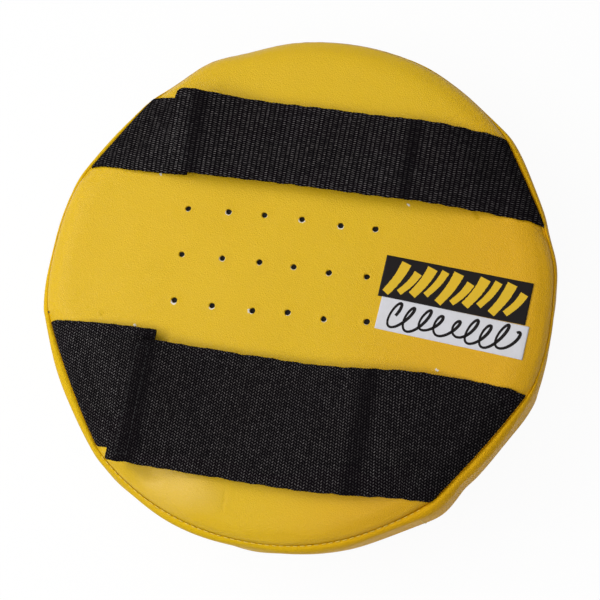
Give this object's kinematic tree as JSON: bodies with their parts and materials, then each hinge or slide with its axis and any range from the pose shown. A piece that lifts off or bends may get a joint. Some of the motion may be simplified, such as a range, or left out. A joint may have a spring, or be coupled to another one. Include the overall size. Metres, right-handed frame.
{
  "type": "kick shield",
  "caption": "Round padded kick shield in leatherette, with a narrow hand strap and a wide forearm strap on its back that open and lift from the rim seam.",
  "frame": {"origin": "middle of the strike face, at the centre of the pad's outline", "axes": "+Z out of the back panel, away from the strike face; X along both straps, with their sewn ends at +X; +Y towards the hand strap"},
  "size_m": [0.32, 0.32, 0.0853],
  "materials": {
    "leatherette": "satin, fine pebble grain",
    "cover_thread": "twisted thread",
    "board_foam": "dense closed-cell foam",
    "foam": "open matt foam",
    "dark_film": "satin printed film",
    "white_film": "satin printed film",
    "webbing": "coarse ribbed weave",
    "hook_tape": "fine plastic hooks",
    "loop_tape": "brushed loop pile",
    "strap_thread": "twisted thread"
  },
  "bodies": {
    "pad": {"back_panel": "leatherette", "side_band": "leatherette", "strike_panel": "leatherette", "back_seam_thread": "cover_thread", "strike_seam_thread": "cover_thread", "band_join_thread": "cover_thread", "stiffener_board": "board_foam", "core_foam": "foam", "impact_foam": "foam", "face_foam": "foam", "label_upper": "dark_film", "label_lower": "white_film"},
    "hand_strap_body": {"hand_strap": "webbing", "hand_strap_hook": "hook_tape", "hand_hook_thread": "strap_thread"},
    "hand_tab_body": {"hand_tab": "webbing", "hand_tab_loop": "loop_tape", "hand_loop_thread": "strap_thread"},
    "forearm_strap_body": {"forearm_strap": "webbing", "forearm_strap_hook": "hook_tape", "forearm_hook_thread": "strap_thread"},
    "forearm_tab_body": {"forearm_tab": "webbing", "forearm_tab_loop": "loop_tape", "forearm_loop_thread": "strap_thread"}
  },
  "joints": [
    {"name": "hand_strap_lift", "type": "hinge", "parent": "pad", "child": "hand_strap_body", "pos_m": [0.12947, 0.08, 0.0661], "axis": [-0.5257, 0.8507, 0], "range_deg": [0, 150]},
    {"name": "hand_tab_lift", "type": "hinge", "parent": "pad", "child": "hand_tab_body", "pos_m": [-0.12947, 0.08, 0.0661], "axis": [-0.5257, -0.8507, 0], "range_deg": [0, 45]},
    {"name": "forearm_strap_lift", "type": "hinge", "parent": "pad", "child": "forearm_strap_body", "pos_m": [0.12507, -0.08, 0.0661], "axis": [0.5388, 0.8424, 0], "range_deg": [0, 150]},
    {"name": "forearm_tab_lift", "type": "hinge", "parent": "pad", "child": "forearm_tab_body", "pos_m": [-0.12507, -0.08, 0.0661], "axis": [0.5388, -0.8424, 0], "range_deg": [0, 45]}
  ],
  "couplings": [
    {"joint": "hand_tab_lift", "follows": "hand_strap_lift", "ratio": 0.3},
    {"joint": "forearm_tab_lift", "follows": "forearm_strap_lift", "ratio": 0.3}
  ]
}
